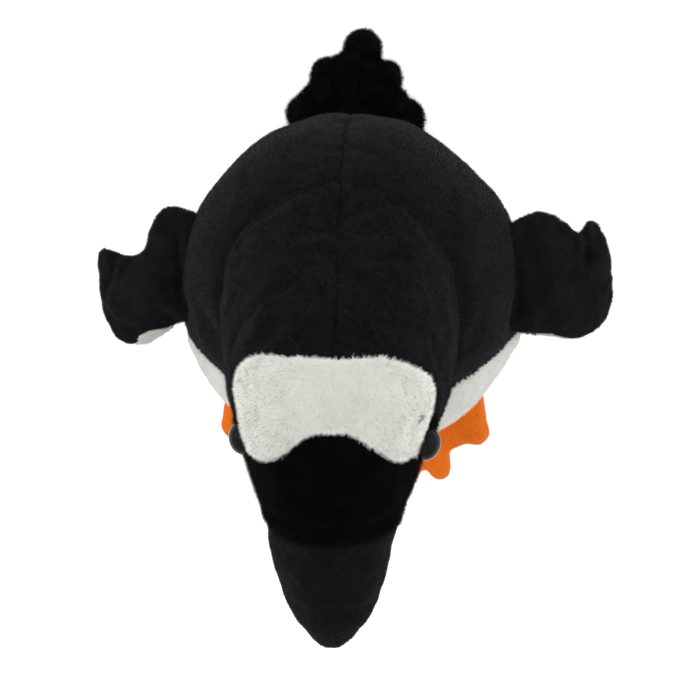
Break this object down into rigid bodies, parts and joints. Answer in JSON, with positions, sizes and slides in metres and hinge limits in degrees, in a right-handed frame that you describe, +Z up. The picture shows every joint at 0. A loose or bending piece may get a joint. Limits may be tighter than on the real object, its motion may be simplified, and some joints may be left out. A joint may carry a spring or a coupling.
{
  "type": "plush penguin",
  "caption": "Chubby upright plush penguin with a white forehead band, long dark beak, spread flippers, orange feet and a lumpy black tail.",
  "frame": {"origin": "middle of the flat base, on the floor", "axes": "+Z up, beak towards -Y, tail towards +Y, the toy's left flipper towards +X"},
  "size_m": [0.3314, 0.3555, 0.2789],
  "materials": {
    "black_plush": "short dense pile",
    "white_plush": "short dense pile",
    "fluffy_white": "fluffy short pile",
    "deep_black_plush": "longer soft pile",
    "charcoal_velour": "smooth velour",
    "tail_plush": "lumpy soft pile",
    "orange_velour": "smooth velour",
    "pale_felt": "thin felt",
    "smoky_plastic": "polished dome",
    "washer_plastic": "moulded",
    "fibre_fill": "loose fibre",
    "pouch_cloth": "plain cotton"
  },
  "bodies": {
    "body": {"back_panel_left": "black_plush", "back_panel_right": "black_plush", "belly_panel": "white_plush", "base_panel": "black_plush", "body_stuffing": "fibre_fill", "pellet_pouch": "pouch_cloth"},
    "head": {"hood_left": "black_plush", "hood_right": "black_plush", "forehead_band": "fluffy_white", "face_panel": "deep_black_plush", "throat_panel": "deep_black_plush", "beak_upper_left": "charcoal_velour", "beak_upper_right": "charcoal_velour", "beak_lower": "charcoal_velour", "head_stuffing": "fibre_fill", "beak_stuffing": "fibre_fill", "eye_left": "smoky_plastic", "eye_right": "smoky_plastic", "eye_ring_left": "pale_felt", "eye_ring_right": "pale_felt", "eye_washer_left": "washer_plastic", "eye_washer_right": "washer_plastic"},
    "flipper_left": {"flipper_left_outer": "black_plush", "flipper_left_lining": "white_plush", "flipper_left_stuffing": "fibre_fill"},
    "foot_left": {"foot_left_top": "orange_velour", "foot_left_sole": "orange_velour", "foot_left_stuffing": "fibre_fill"},
    "flipper_right": {"flipper_right_outer": "black_plush", "flipper_right_lining": "white_plush", "flipper_right_stuffing": "fibre_fill"},
    "foot_right": {"foot_right_top": "orange_velour", "foot_right_sole": "orange_velour", "foot_right_stuffing": "fibre_fill"},
    "tail": {"tail_top": "tail_plush", "tail_under": "tail_plush", "tail_stuffing": "fibre_fill"}
  },
  "joints": [
    {"name": "neck_nod", "type": "hinge", "parent": "body", "child": "head", "pos_m": [0, 0, 0.1786], "axis": [1, 0, 0], "range_deg": [-8, 8], "stiffness_Nm_per_rad": 12},
    {"name": "flipper_left_swing", "type": "hinge", "parent": "body", "child": "flipper_left", "pos_m": [0.1015, 0.0115, 0.119], "axis": [0.1167, -0.9932, 0], "range_deg": [-20, 45], "stiffness_Nm_per_rad": 0.3},
    {"name": "flipper_right_swing", "type": "hinge", "parent": "body", "child": "flipper_right", "pos_m": [-0.1015, 0.0115, 0.119], "axis": [0.1167, 0.9932, 0], "range_deg": [-20, 45], "stiffness_Nm_per_rad": 0.3},
    {"name": "tail_flex", "type": "hinge", "parent": "body", "child": "tail", "pos_m": [0, 0.089, 0.031], "axis": [1, 0, 0], "range_deg": [0, 18], "stiffness_Nm_per_rad": 0.6},
    {"name": "foot_left_flex", "type": "hinge", "parent": "body", "child": "foot_left", "pos_m": [0.0415, -0.062, 0.005], "axis": [-0.9822, -0.188, 0], "range_deg": [0, 15], "stiffness_Nm_per_rad": 0.8},
    {"name": "foot_right_flex", "type": "hinge", "parent": "body", "child": "foot_right", "pos_m": [-0.0415, -0.062, 0.005], "axis": [-0.9822, 0.188, 0], "range_deg": [0, 15], "stiffness_Nm_per_rad": 0.8}
  ]
}
